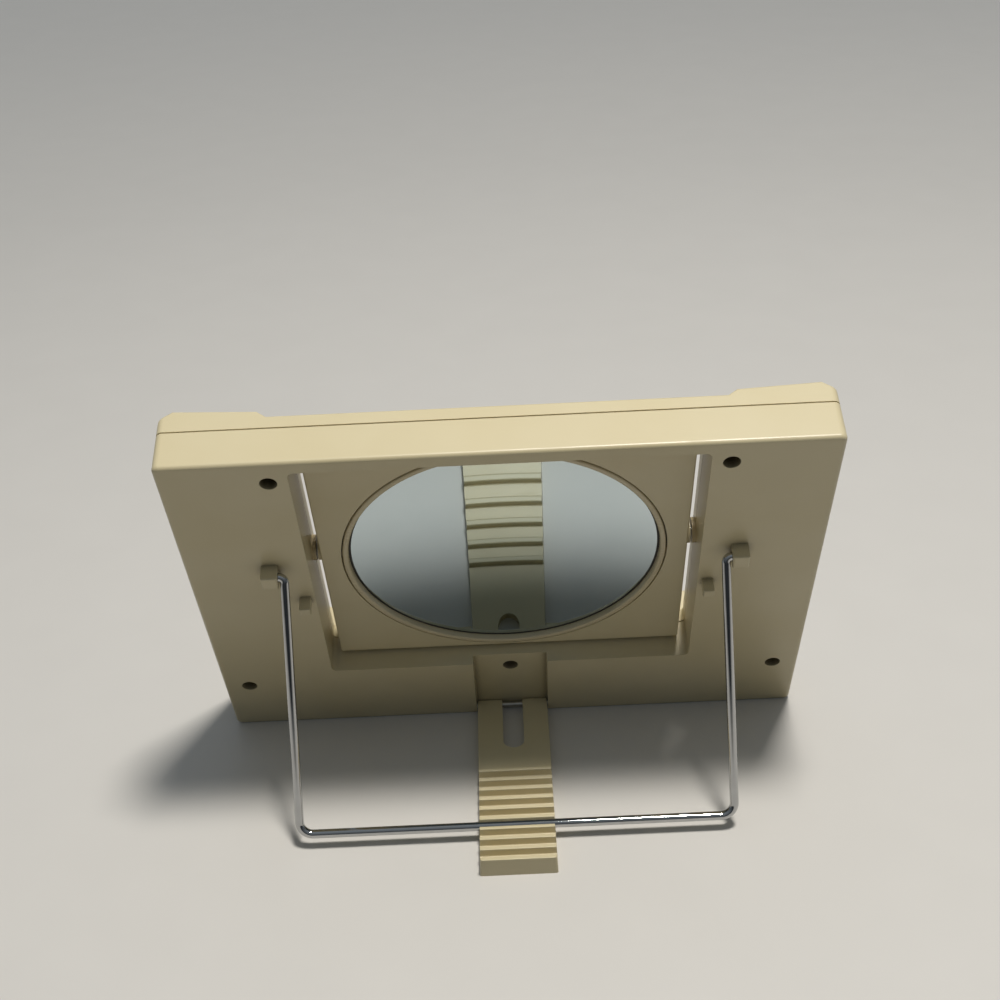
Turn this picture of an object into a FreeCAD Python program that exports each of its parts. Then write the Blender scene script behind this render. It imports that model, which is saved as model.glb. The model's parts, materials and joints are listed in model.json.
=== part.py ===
import FreeCAD, Part
import math
import os

# Lighted makeup mirror: a landscape two-shell case with a flip mirror, a wire bail and a ridged foot.
# Case frame: X to the right seen from the front, Y to the rear, Z up the case, rear face at Y = 0.
# The case is drawn upright and stand_case() leans it back. Foot and bail are drawn as they stand.

V = FreeCAD.Vector

# Case shells
case_width = 280.0
case_height = 206.0
rear_depth = 18.65
front_depth = 7.15
wall = 2.5
corner_radius = 3.0
rear_edge_radius = 1.8
front_edge_radius = 1.2
parting_lip = 0.7
parting_inset = 0.6
lean_deg = 21.0

# Raised light pads on the front, one at each side
pad_width = 35.0
pad_slope_run = 4.0
pad_inner_rise = 3.0
pad_outer_rise = 4.8
pad_shoulder_run = 5.3
pad_shoulder_drop = 3.8
pad_side_inset = 0.7
pad_side_drop = 3.4

# Opening for the flip mirror
opening_side = 53.9
opening_bottom = 46.7
opening_top = 6.8
opening_radius = 2.5

# Ledge under the opening on the front
sill_depth = 12.0
sill_lip = 4.0
sill_edge_radius = 1.0

# Screws and their wells
well_diameter = 7.4
well_depth = 12.0
boss_wall = 2.0
post_radius = 4.5
screw_radius = 1.5
screw_head_radius = 3.1
screw_head_height = 2.2
screw_front_skin = 1.5
screw_fit = 0.1
top_screw_side = 45.65
top_screw_drop = 12.7
low_screw_side = 12.2
low_screw_height = 36.45

# Foot pocket in the rear face
pocket_width = 36.0
pocket_depth = 5.2
pocket_radius = 0.5
hinge_inset = 2.5
hinge_pin_radius = 1.5
hinge_pin_seat = 7.0
hinge_pin_end = 0.2
hinge_cheek_wall = 2.0
hinge_cheek_height = 9.0

# Bail lugs and the posts that hold the folded legs
lug_side = 33.6
lug_width = 7.2
lug_height = 7.8
lug_proud = 7.6
lug_edge_radius = 0.8
lug_skin = 1.8
pivot_height = 132.7
pivot_proud = 4.0
post_side = 49.5
post_width = 5.0
post_height = 4.5
post_top = 111.0
post_proud = 7.1
post_edge_radius = 0.7

# Wire bail
wire_radius = 2.0
wire_fit = 0.1
bail_eye_bend = 2.5
bail_corner_bend = 6.0
bail_side_gap = 0.2
bail_splay = 2.1
bail_gap_number = 6

# Ridged foot
foot_length = 114.0
foot_plate = 5.5
foot_side_gap = 0.3
foot_end_narrowing = 0.25
foot_draft = 0.5
foot_end_radius = 1.0
foot_start = 1.2
knuckle_radius = 2.5
ridge_count = 10
ridge_pitch = 6.46
ridge_width = 1.8
ridge_height = 4.0
ridge_edge_radius = 0.4
ridge_root_radius = 0.6
notch_gap = 0.15
slot_width = 10.3
slot_end = 34.9

# Flip mirror panel
panel_side_gap = 4.4
panel_end_gap = 2.0
panel_thickness = 18.1
panel_radius = 1.2
panel_edge_radius = 0.8
panel_rim = 1.5
trunnion_radius = 5.8
trunnion_gap = 0.8
glass_thickness = 2.0
glass_inset = 2.6
glass_side_gap = 0.4
ring_groove = 0.6
ring_width = 2.6
ring_crown = 0.5
ring_shoulder = 0.3
ring_slope_share = 0.3
seat_ledge = 3.1
glass_ledge = 0.2
mirror_curve_radius = 900.0
mirror_pin_radius = 2.0
mirror_pin_depth = 8.0
mirror_pin_end = 0.2
bush_spigot_radius = 3.5
pin_fit = 0.05

# Lamps and their fittings
lamp_radius = 8.0
lamp_cap_radius = 8.2
lamp_cap_length = 12.0
lamp_pin_radius = 1.2
lamp_pin_length = 7.0
lamp_pin_pitch = 5.0
lamp_side = 27.5
lamp_depth = 14.0
lamp_bottom = 50.0
lamp_top = 20.0
holder_width = 18.0
holder_length = 10.0
holder_front = 9.0
holder_edge = 1.5
holder_pin_fit = 0.1
holder_end_gap = 0.3
reflector_sheet = 0.6
reflector_base = 28.0
reflector_mouth = 37.0
reflector_height = 13.5
reflector_end_gap = 0.5

# Diffuser windows in the pads
window_margin = 3.5
window_bottom = 45.0
window_top = 16.0
window_fit = 0.15
diffuser_flange = 2.0
diffuser_flange_thickness = 1.2

# Ballast, starters and switch in the bottom of the case
floor_gap = 5.5
ballast_gap = 1.0
ballast_core_length = 40.0
ballast_coil_length = 56.0
ballast_height = 30.0
ballast_coil_height = 20.0
ballast_depth = 15.0
ballast_coil_radius = 4.0
ballast_strap = 1.0
ballast_strap_height = 12.0
ballast_ear = 8.0
ballast_hole_radius = 1.7
inner_starter_side = 56.0
outer_starter_side = 40.0
starter_radius = 6.0
starter_length = 28.0
starter_base_width = 13.0
starter_base_depth = 4.0
starter_height = 6.0
switch_side = 84.0
switch_height = 24.0
switch_width = 22.0
switch_tall = 14.0
switch_gap = 2.2
button_width = 16.0
button_tall = 9.0
button_proud = 2.0
button_travel = 1.8
button_fit = 0.2
button_edge_radius = 0.8
button_flange = 1.5
button_flange_thickness = 1.2
stem_size = 4.0
stem_length = 4.4
stem_hole_gap = 0.5
stem_end_gap = 1.6

# Mains inlet in the side wall
inlet_height = 19.0
inlet_depth = 11.0
inlet_length = 18.0
inlet_tall = 10.0
inlet_reach = 16.0
inlet_fit = 0.1
inlet_flange = 2.0
inlet_flange_thickness = 2.0
inlet_lobe_radius = 3.6
inlet_lobe_pitch = 6.4
inlet_recess = 11.0
inlet_pin_radius = 1.2
inlet_pin_length = 8.0

# Inner leads
lead_radius = 1.0
lead_bend = 3.5
lead_wall_gap = 0.3
lead_bow = 10.5
lead_crossing_depth = 13.5
lead_entry_share = 0.4
lead_low_share = 0.45
lead_high_share = 0.8

# Every cut runs past the face it opens
overrun = 1.0
tolerance = 1e-5

half_width = case_width / 2
opening_half = half_width - opening_side
opening_roof = case_height - opening_top
opening_middle = (opening_bottom + opening_roof) / 2
front_face = -(rear_depth + front_depth)
lean = math.radians(lean_deg)
x_axis = V(1, 0, 0)
y_axis = V(0, 1, 0)
z_axis = V(0, 0, 1)


def box(x_span, y_span, z_span):
    low = V(min(x_span), min(y_span), min(z_span))
    high = V(max(x_span), max(y_span), max(z_span))
    size = high - low
    return Part.makeBox(size.x, size.y, size.z, low)


def middle_span(centre, width):
    return (centre - width / 2, centre + width / 2)


def straight_edges(shape, axis):
    found = []
    for edge in shape.Edges:
        line = edge.Vertexes[-1].Point - edge.Vertexes[0].Point
        if line.Length > tolerance and line.cross(axis).Length < tolerance:
            found.append(edge)
    return found


def edges_at_depth(shape, depth):
    return [edge for edge in shape.Edges if all(abs(v.Point.y - depth) < tolerance for v in edge.Vertexes)]


def rounded_box(x_span, y_span, z_span, radius):
    block = box(x_span, y_span, z_span)
    return block.makeFillet(radius, straight_edges(block, y_axis))


def prism(points, sweep):
    outline = Part.makePolygon(points + [points[0]])
    return Part.Face(outline).extrude(sweep)


def bent_rod(points, bends, radius):
    # A round bar of straight runs and tangent bends, with one bend radius for each inner point
    pieces = []
    start = points[0]
    for before, corner, after, bend in zip(points, points[1:], points[2:], bends):
        arrive = (corner - before).normalize()
        leave = (after - corner).normalize()
        turn = arrive.getAngle(leave)
        reach = bend * math.tan(turn / 2)
        first = corner - arrive * reach
        axis = arrive.cross(leave).normalize()
        centre = first + axis.cross(arrive) * bend
        section = Part.Face(Part.Wire(Part.makeCircle(radius, first, arrive)))
        pieces.append(Part.makeCylinder(radius, (first - start).Length, start, arrive))
        pieces.append(section.revolve(centre, axis, math.degrees(turn)))
        start = corner + leave * reach
    last = points[-1] - start
    pieces.append(Part.makeCylinder(radius, last.Length, start, last))
    return pieces[0].multiFuse(pieces[1:]) if len(pieces) > 1 else pieces[0]


def screw_places():
    top_z = case_height - top_screw_drop
    places = [(0, low_screw_height)]
    for side in (-1, 1):
        places.append((side * (half_width - top_screw_side), top_z))
        places.append((side * (half_width - low_screw_side), low_screw_height))
    return places


def case_block():
    block = rounded_box((-half_width, half_width), (-rear_depth, 0), (0, case_height), corner_radius)
    return block.makeFillet(rear_edge_radius, edges_at_depth(block, 0))


def opening_block(grow):
    return rounded_box((-opening_half - grow, opening_half + grow),
                       (front_face - pad_outer_rise - overrun, overrun),
                       (opening_bottom - grow, opening_roof + grow), opening_radius + grow)


def pad_front(x):
    # Depth of the sloping pad face at a distance x from the middle of the case
    inner = half_width - pad_side_inset - pad_shoulder_run - pad_width
    rise = pad_inner_rise + (x - inner) / pad_width * (pad_outer_rise - pad_inner_rise)
    return front_face - rise


def front_outline(inset):
    # Half of the front section from the side to the foot of the pad, taken in by the wall
    outer = half_width - pad_side_inset - pad_shoulder_run
    inner = outer - pad_width
    shoulder = half_width - pad_side_inset
    shoulder_y = pad_front(outer) + pad_shoulder_drop
    return [
        (half_width - inset, shoulder_y + pad_side_drop + inset / 2),
        (shoulder - inset, shoulder_y + inset / 2),
        (outer - inset / 2, pad_front(outer - inset / 2) + inset),
        (inner + inset / 2, pad_front(inner + inset / 2) + inset),
        (inner - pad_slope_run + inset / 2, front_face + inset),
    ]


def bush_bore(radius):
    reach = opening_half + wall
    return Part.makeCylinder(radius, 2 * reach, V(-reach, -rear_depth, opening_middle), x_axis)


def side_room(side, y_span):
    return box((side * (opening_half + wall), side * (half_width - wall)), y_span, (wall, case_height - wall))


def rear_rooms():
    y_span = (-wall, -rear_depth - overrun)
    low_room = box((wall - half_width, half_width - wall), y_span, (wall, opening_bottom - wall))
    return low_room.multiFuse([side_room(-1, y_span), side_room(1, y_span)])


def inlet_block(grow, x_span):
    return box(x_span, middle_span(-inlet_depth, inlet_tall + 2 * grow),
               middle_span(inlet_height, inlet_length + 2 * grow))


def lug(side):
    inner = half_width - lug_side - lug_width
    block = box((side * inner, side * (inner + lug_width)), (-wall, lug_proud),
                middle_span(pivot_height, lug_height))
    block = block.makeFillet(lug_edge_radius, edges_at_depth(block, lug_proud))
    eye = Part.makeCylinder(wire_radius + wire_fit, lug_width - lug_skin + overrun,
                            V(side * (inner - overrun), pivot_proud, pivot_height), x_axis * side)
    return block.cut(eye)


def leg_post(side):
    centre = side * (half_width - post_side)
    block = box(middle_span(centre, post_width), (-wall, post_proud), (post_top - post_height, post_top))
    return block.makeFillet(post_edge_radius, edges_at_depth(block, post_proud))


def cheek_outer():
    return pocket_width / 2 + hinge_pin_seat + hinge_cheek_wall


def hinge_cheek(side):
    inner = pocket_width / 2
    return box((side * inner, side * cheek_outer()), (-pocket_depth - wall, 0), (0, hinge_cheek_height))


def rear_cover():
    block = case_block()
    shell = block.cut(rear_rooms())
    boss_radius = well_diameter / 2 + boss_wall
    solids = [box(middle_span(0, pocket_width + 2 * wall), (-pocket_depth - wall, 0), (0, opening_bottom))]
    solids += [hinge_cheek(side) for side in (-1, 1)]
    solids += [Part.makeCylinder(boss_radius, rear_depth, V(x, -rear_depth, z), y_axis)
               for x, z in screw_places()]
    shell = shell.multiFuse([solid.common(block) for solid in solids])
    pocket = box(middle_span(0, pocket_width), (-pocket_depth, overrun), (-overrun, opening_bottom + overrun))
    inner_edges = [edge for edge in straight_edges(pocket, z_axis) if edge.Vertexes[0].Point.y < 0]
    cuts = [opening_block(0), pocket.makeFillet(pocket_radius, inner_edges), bush_bore(bush_spigot_radius + pin_fit)]
    for x, z in screw_places():
        cuts.append(Part.makeCylinder(well_diameter / 2, well_depth + overrun, V(x, -well_depth, z), y_axis))
        cuts.append(Part.makeCylinder(screw_radius + screw_fit, rear_depth, V(x, -rear_depth, z), y_axis))
    pin_reach = pocket_width + 2 * hinge_pin_seat
    cuts.append(Part.makeCylinder(hinge_pin_radius + pin_fit, pin_reach,
                                  V(-pin_reach / 2, -hinge_inset, hinge_rise()), x_axis))
    cuts.append(inlet_block(inlet_fit, (-half_width - overrun, wall - half_width + overrun)))
    shell = shell.cut(Part.makeCompound(cuts))
    return shell.multiFuse([make(side) for make in (lug, leg_post) for side in (-1, 1)]).removeSplitter()


def front_block():
    # The front section is swept over the height of the case, and its corners follow the rear cover
    right = front_outline(0)
    left = [(-x, y) for x, y in reversed(right)]
    plane = -rear_depth - parting_lip
    points = [(half_width, plane)] + right + left + [(-half_width, plane)]
    swept = prism([V(x, y, 0) for x, y in points], z_axis * case_height)
    deepest = front_face - pad_outer_rise - overrun
    limits = rounded_box((-half_width, half_width), (deepest, 0), (0, case_height), corner_radius)
    block = swept.common(limits)
    ends = [edge for edge in block.Edges
            if all(v.Point.z < tolerance for v in edge.Vertexes)
            or all(v.Point.z > case_height - tolerance for v in edge.Vertexes)]
    front_edges = [edge for edge in ends if all(v.Point.y < plane - tolerance for v in edge.Vertexes)
                   and abs(edge.Vertexes[-1].Point.x - edge.Vertexes[0].Point.x) > pad_side_inset]
    return block.makeFillet(front_edge_radius, front_edges)


def sill(inset, x_span):
    # Level ledge under the mirror with an upright lip and a slope back to the front, taken in by the wall
    lip = front_face - sill_depth + inset
    back = front_face + inset
    low = opening_bottom - sill_lip + inset * (math.sqrt(2) - 1)
    points = [(back, opening_bottom - inset), (lip, opening_bottom - inset), (lip, low), (back, low - sill_depth)]
    near, far = x_span
    return prism([V(near, y, z) for y, z in points], x_axis * (far - near))


def front_frame():
    inset = parting_inset
    lip = rounded_box((inset - half_width, half_width - inset), (-rear_depth - parting_lip, -rear_depth),
                      (inset, case_height - inset), corner_radius - inset)
    lip = lip.cut(opening_block(inset))
    inner_wall = opening_half + wall
    ledge = sill(0, (-inner_wall, inner_wall))
    lip_edges = [edge for edge in straight_edges(ledge, x_axis) if edge.Vertexes[0].Point.y < front_face - tolerance]
    ledge = ledge.makeFillet(sill_edge_radius, lip_edges)
    frame = front_block().cut(opening_block(0)).multiFuse([lip, ledge])
    plane = -rear_depth + overrun
    section = [(inner_wall, plane), (half_width - wall, plane)] + front_outline(wall)
    section.append((inner_wall, front_face + wall))
    rooms = [prism([V(side * x, y, wall) for x, y in section], z_axis * (case_height - 2 * wall))
             for side in (-1, 1)]
    rooms.append(box((-inner_wall - overrun, inner_wall + overrun), (front_face + wall, plane),
                     (wall, opening_bottom - wall)))
    web = post_radius + wall
    rooms += [sill(wall, (side * web, side * opening_half)) for side in (-1, 1)]
    frame = frame.cut(Part.makeCompound(rooms))
    posts = [Part.makeCylinder(post_radius, -front_face - rear_depth - wall + overrun,
                               V(x, front_face + wall - overrun, z), y_axis) for x, z in screw_places()]
    pad_posts = [post for post in posts]
    for x, z in screw_places():
        if abs(x) > half_width - opening_side / 2:
            depth = rear_depth + pad_front(abs(x)) + wall / 2
            pad_posts.append(Part.makeCylinder(post_radius, -depth, V(x, -rear_depth + depth, z), y_axis))
    frame = frame.multiFuse([post.common(front_limits()) for post in pad_posts])
    cuts = [bush_bore(bush_spigot_radius + pin_fit)]
    pilot = front_depth - screw_front_skin
    for x, z in screw_places():
        cuts.append(Part.makeCylinder(screw_radius + screw_fit, pilot + overrun, V(x, -rear_depth - pilot, z), y_axis))
    cuts += [diffuser_plate(side, 0) for side in (-1, 1)]
    cuts.append(box(middle_span(half_width - switch_side, button_width),
                    (front_face - overrun, front_face + wall + overrun), middle_span(switch_height, button_tall)))
    return frame.cut(Part.makeCompound(cuts)).removeSplitter()


def front_limits():
    return box((wall / 2 - half_width, half_width - wall / 2),
               (front_face - pad_outer_rise, -rear_depth), (wall / 2, case_height - wall / 2))


def pad_strip(side, x_span, front_offset, thickness, z_span):
    # A strip that follows the sloping pad face at a given depth behind it
    near, far = x_span
    points = [(near, pad_front(near) + front_offset), (far, pad_front(far) + front_offset),
              (far, pad_front(far) + front_offset + thickness),
              (near, pad_front(near) + front_offset + thickness)]
    low, high = z_span
    return prism([V(side * x, y, low) for x, y in points], z_axis * (high - low))


def window_spans(grow):
    outer = half_width - pad_side_inset - pad_shoulder_run
    inner = outer - pad_width
    return ((inner + window_margin - grow, outer - window_margin + grow),
            (window_bottom - grow, case_height - window_top + grow))


def diffuser_plate(side, fit):
    x_span, z_span = window_spans(-fit)
    clear = 0 if fit else overrun
    return pad_strip(side, x_span, -clear, wall + clear, z_span)


def diffuser(side):
    x_span, z_span = window_spans(diffuser_flange)
    flange = pad_strip(side, x_span, wall, diffuser_flange_thickness, z_span)
    return diffuser_plate(side, window_fit).fuse(flange).removeSplitter()


def lamp_centre(side):
    return V(side * (half_width - lamp_side), -lamp_depth, lamp_bottom)


def lamp_length():
    return case_height - lamp_top - lamp_bottom


def lamp_pins(radius, length, foot, direction):
    return [Part.makeCylinder(radius, length, foot + x_axis * (side * lamp_pin_pitch / 2), direction)
            for side in (-1, 1)]


def lamp_tube(side):
    low = lamp_centre(side)
    high = low + z_axis * lamp_length()
    pieces = [Part.makeCylinder(lamp_cap_radius, lamp_cap_length, low, z_axis),
              Part.makeCylinder(lamp_cap_radius, lamp_cap_length, high, -z_axis)]
    pieces += lamp_pins(lamp_pin_radius, lamp_pin_length, low, -z_axis)
    pieces += lamp_pins(lamp_pin_radius, lamp_pin_length, high, z_axis)
    return Part.makeCylinder(lamp_radius, lamp_length(), low, z_axis).multiFuse(pieces)


def lampholder(side, end):
    # end is -1 for the lower holder and 1 for the upper one
    face = lamp_centre(side) + z_axis * (lamp_length() if end > 0 else 0)
    block = box(middle_span(face.x, holder_width), (-wall, -lamp_depth - holder_front),
                (face.z, face.z + end * holder_length))
    front_edges = [edge for edge in straight_edges(block, z_axis) if edge.Vertexes[0].Point.y < -lamp_depth]
    block = block.makeFillet(holder_edge, front_edges)
    holes = lamp_pins(lamp_pin_radius + holder_pin_fit, lamp_pin_length + holder_end_gap, face, z_axis * end)
    return block.cut(Part.makeCompound(holes))


def reflector(side):
    # Bent sheet: a flat base on the rear wall and two wings that open towards the diffuser
    base = reflector_base / 2
    mouth = reflector_mouth / 2
    outline = [(-mouth, -reflector_height), (-base, 0), (base, 0), (mouth, -reflector_height),
               (mouth - reflector_sheet, -reflector_height), (base - reflector_sheet / 2, -reflector_sheet),
               (reflector_sheet / 2 - base, -reflector_sheet), (reflector_sheet - mouth, -reflector_height)]
    low = lamp_bottom + reflector_end_gap
    centre = lamp_centre(side).x
    length = lamp_length() - 2 * reflector_end_gap
    return prism([V(centre + x, y - wall, low) for x, y in outline], z_axis * length)


def ballast_middle():
    return -(cheek_outer() + ballast_gap + ballast_ear + ballast_coil_length / 2)


def ballast():
    centre_x = ballast_middle()
    centre_z = wall + floor_gap + ballast_height / 2
    core = box(middle_span(centre_x, ballast_core_length), (-wall, -wall - ballast_depth),
               middle_span(centre_z, ballast_height))
    coil = rounded_box(middle_span(centre_x, ballast_coil_length), (-wall - ballast_strap, -wall - ballast_depth),
                       middle_span(centre_z, ballast_coil_height), ballast_coil_radius)
    strap = box(middle_span(centre_x, ballast_coil_length + 2 * ballast_ear), (-wall, -wall - ballast_strap),
                middle_span(centre_z, ballast_strap_height))
    ear_x = (ballast_coil_length + ballast_ear) / 2
    holes = [Part.makeCylinder(ballast_hole_radius, ballast_depth, V(centre_x + side * ear_x, -ballast_depth, centre_z),
                               y_axis) for side in (-1, 1)]
    return core.multiFuse([coil, strap]).cut(Part.makeCompound(holes)).removeSplitter()


def starter(offset):
    x = half_width - offset
    low = wall + starter_height
    axis_y = -wall - starter_base_depth - starter_radius / 2
    base = box(middle_span(x, starter_base_width), (-wall, -wall - starter_base_depth), (low, low + starter_length))
    can = Part.makeCylinder(starter_radius, starter_length, V(x, axis_y, low), z_axis)
    return base.fuse(can).removeSplitter()


def switch_face():
    return front_face + wall + button_fit + button_flange_thickness + button_travel + switch_gap


def stem_tip():
    return front_face + wall + button_fit + button_flange_thickness + stem_length


def switch_body():
    x = half_width - switch_side
    body = box(middle_span(x, switch_width), (switch_face(), -wall), middle_span(switch_height, switch_tall))
    hole = stem_size + stem_hole_gap
    slot = box(middle_span(x, hole), (switch_face() - overrun, stem_tip() + button_travel + stem_end_gap),
               middle_span(switch_height, hole))
    return body.cut(slot)


def power_button():
    x = half_width - switch_side
    back = front_face + wall + button_fit
    cap = box(middle_span(x, button_width - 2 * button_fit), (front_face - button_proud, back),
              middle_span(switch_height, button_tall - 2 * button_fit))
    cap = cap.makeFillet(button_edge_radius, edges_at_depth(cap, front_face - button_proud))
    flange = box(middle_span(x, button_width + 2 * button_flange), (back, back + button_flange_thickness),
                 middle_span(switch_height, button_tall + 2 * button_flange))
    stem = box(middle_span(x, stem_size), (back, stem_tip()), middle_span(switch_height, stem_size))
    return cap.multiFuse([flange, stem]).removeSplitter()


def mains_inlet():
    # Two-pin inlet: the recess is two lobes joined by a straight channel
    outer = -half_width
    body = inlet_block(0, (outer, outer + inlet_reach))
    flange = inlet_block(inlet_flange, (outer + wall, outer + wall + inlet_flange_thickness))
    lobes = [V(outer - overrun, -inlet_depth, inlet_height + side * inlet_lobe_pitch / 2) for side in (-1, 1)]
    cuts = [Part.makeCylinder(inlet_lobe_radius, inlet_recess + overrun, lobe, x_axis) for lobe in lobes]
    cuts.append(box((outer - overrun, outer + inlet_recess), middle_span(-inlet_depth, inlet_lobe_radius),
                    middle_span(inlet_height, inlet_lobe_pitch)))
    pins = [Part.makeCylinder(inlet_pin_radius, inlet_pin_length,
                              V(outer + inlet_recess, lobe.y, lobe.z), -x_axis) for lobe in lobes]
    return body.fuse(flange).cut(Part.makeCompound(cuts)).multiFuse(pins).removeSplitter()


def case_screws():
    length = rear_depth - well_depth + front_depth - screw_front_skin - screw_fit
    screws = []
    for x, z in screw_places():
        head = Part.makeCylinder(screw_head_radius, screw_head_height, V(x, -well_depth, z), y_axis)
        shank = Part.makeCylinder(screw_radius, length, V(x, -well_depth, z), -y_axis)
        screws.append(head.fuse(shank))
    return Part.makeCompound(screws)


def inner_wiring():
    # Leads that lie along the rear wall, from the inlet to the ballast, switch, starters and lamps
    depth = -wall - lead_radius - lead_wall_gap
    ballast_left = ballast_middle() - ballast_coil_length / 2
    ballast_right = ballast_middle() + ballast_coil_length / 2
    coil_low = wall + floor_gap + (ballast_height - ballast_coil_height) / 2
    entry = coil_low + ballast_coil_height * lead_entry_share
    crossing = -wall - ballast_strap - lead_crossing_depth + lead_radius
    switch_left = half_width - switch_side - switch_width / 2
    near_starter = half_width - inner_starter_side - starter_base_width / 2
    far_starter = half_width - outer_starter_side + starter_base_width / 2
    low = wall + starter_height + starter_length * lead_low_share
    high = wall + starter_height + starter_length * lead_high_share
    inlet_end = inlet_reach - half_width
    lamp_x = half_width - lamp_side
    holder_low = lamp_bottom - holder_length
    coil_y = -wall - ballast_strap - lead_radius - lead_wall_gap
    runs = [
        [V(inlet_end, -inlet_depth, inlet_height), V(ballast_left, -inlet_depth, inlet_height)],
        [V(ballast_right, crossing, entry), V(switch_left, crossing, entry)],
        [V(switch_left + switch_width, depth, low), V(near_starter, depth, low)],
        [V(far_starter, depth, high), V(lamp_x, depth, high), V(lamp_x, depth, holder_low)],
        [V(ballast_left, coil_y, coil_low + ballast_coil_height * lead_high_share),
         V(-lamp_x, coil_y, coil_low + ballast_coil_height * lead_high_share), V(-lamp_x, coil_y, holder_low)],
    ]
    for side in (-1, 1):
        face = side * (lamp_x + holder_width / 2)
        bow = face + side * lead_bow
        bottom = lamp_bottom - holder_length * lead_entry_share
        top = lamp_bottom + lamp_length() + holder_length * lead_entry_share
        runs.append([V(face, depth, bottom), V(bow, depth, bottom), V(bow, depth, top), V(face, depth, top)])
    return Part.makeCompound([bent_rod(run, [lead_bend] * (len(run) - 2), lead_radius) for run in runs])


def panel_half():
    return opening_half - panel_side_gap


def panel_height():
    return opening_roof - opening_bottom - 2 * panel_end_gap


def recess_radius():
    return min(panel_half(), panel_height() / 2) - panel_rim


def turned(points_and_arcs):
    # A solid turned about the mirror's own axis; each item is a line's end or an arc's middle and end
    edges = []
    last = points_and_arcs[0][-1]
    for item in points_and_arcs[1:] + points_and_arcs[:1]:
        end = item[-1]
        if len(item) > 1:
            edges.append(Part.Arc(last, item[0], end).toShape())
        else:
            edges.append(Part.LineSegment(last, end).toShape())
        last = end
    face = Part.Face(Part.Wire(edges))
    return face.revolve(V(0, 0, opening_middle), y_axis, 360)


def on_disc(radius, depth, facing):
    # facing is 1 for the rear mirror and -1 for the front one; depth counts from the panel's face
    return V(radius, -rear_depth + facing * (panel_thickness / 2 - depth), opening_middle)


def mirror_frame():
    y_span = middle_span(-rear_depth, panel_thickness)
    block = rounded_box((-panel_half(), panel_half()), y_span, middle_span(opening_middle, panel_height()), panel_radius)
    block = block.makeFillet(panel_edge_radius, edges_at_depth(block, y_span[0]) + edges_at_depth(block, y_span[1]))
    trunnion = (panel_side_gap - trunnion_gap) / 2
    stubs = [Part.makeCylinder(trunnion_radius, trunnion + wall, V(side * (panel_half() - wall), -rear_depth, opening_middle),
                               x_axis * side) for side in (-1, 1)]
    seat = glass_inset + glass_thickness
    cuts = [Part.makeCylinder(recess_radius(), seat + overrun, on_disc(0, seat, facing), y_axis * facing)
            for facing in (-1, 1)]
    cuts.append(Part.makeCylinder(recess_radius() - seat_ledge, panel_thickness, V(0, y_span[0], opening_middle), y_axis))
    for side in (-1, 1):
        start = V(side * (panel_half() - mirror_pin_depth), -rear_depth, opening_middle)
        cuts.append(Part.makeCylinder(mirror_pin_radius + pin_fit, mirror_pin_depth + panel_side_gap, start, x_axis * side))
    return block.multiFuse(stubs).cut(Part.makeCompound(cuts)).removeSplitter()


def retaining_ring(facing):
    # Crowned ring: a flat top between two sloping shoulders
    outer = recess_radius() - ring_groove
    inner = outer - ring_width
    slope = ring_width * ring_slope_share
    return turned([
        [on_disc(inner, glass_inset, facing)],
        [on_disc(inner, ring_shoulder, facing)],
        [on_disc(inner + slope, -ring_crown, facing)],
        [on_disc(outer - slope, -ring_crown, facing)],
        [on_disc(outer, ring_shoulder, facing)],
        [on_disc(outer, glass_inset, facing)],
    ])


def glass_radius():
    return recess_radius() - glass_side_gap


def plain_mirror():
    return Part.makeCylinder(glass_radius(), glass_thickness, on_disc(0, glass_inset, -1), y_axis)


def sagitta(radius, curve):
    return curve - math.sqrt(curve * curve - radius * radius)


def magnifying_mirror():
    # Dished glass with a flat rim under the retaining ring and a plain cone for its unseen back
    rim = recess_radius() - seat_ledge - glass_ledge
    back = glass_inset + glass_thickness
    dish = sagitta(rim, mirror_curve_radius)
    mid_drop = dish - sagitta(rim / 2, mirror_curve_radius)
    return turned([
        [on_disc(0, glass_inset + dish, 1)],
        [on_disc(rim / 2, glass_inset + mid_drop, 1), on_disc(rim, glass_inset, 1)],
        [on_disc(glass_radius(), glass_inset, 1)],
        [on_disc(glass_radius(), back, 1)],
        [on_disc(rim, back, 1)],
        [on_disc(0, back + dish, 1)],
    ])


def pivot_pin(side):
    start = V(side * (panel_half() - mirror_pin_depth), -rear_depth, opening_middle)
    length = mirror_pin_depth + panel_side_gap + wall - mirror_pin_end
    return Part.makeCylinder(mirror_pin_radius, length, start, x_axis * side)


def pivot_bush(side):
    flange = (panel_side_gap - trunnion_gap) / 2
    shoulder = V(side * opening_half, -rear_depth, opening_middle)
    bush = Part.makeCylinder(trunnion_radius, flange, shoulder, -x_axis * side)
    bush = bush.fuse(Part.makeCylinder(bush_spigot_radius, wall, shoulder, x_axis * side))
    bore = Part.makeCylinder(mirror_pin_radius + pin_fit, panel_side_gap + wall, shoulder - x_axis * (side * panel_side_gap),
                             x_axis * side)
    return bush.cut(bore)


def case_drop():
    # The rounded rear edge lowers the leaning case onto the table
    return rear_edge_radius * (math.cos(lean) + math.sin(lean) - 1)


def stand_point(point):
    # A point of the upright case where it is once the case leans back on its rear bottom edge
    y = point.y * math.cos(lean) + point.z * math.sin(lean)
    z = point.z * math.cos(lean) - point.y * math.sin(lean) - case_drop()
    return V(point.x, y, z)


def stand_case(shape):
    leaning = shape.copy()
    leaning.rotate(V(0, 0, 0), x_axis, -lean_deg)
    leaning.translate(V(0, 0, -case_drop()))
    return leaning


def hinge_rise():
    # Height up the case at which the knuckle's top is level with the foot's plate
    level = foot_plate - knuckle_radius + case_drop()
    return (level - hinge_inset * math.sin(lean)) / math.cos(lean)


def hinge_point():
    return stand_point(V(0, -hinge_inset, hinge_rise()))


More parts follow.
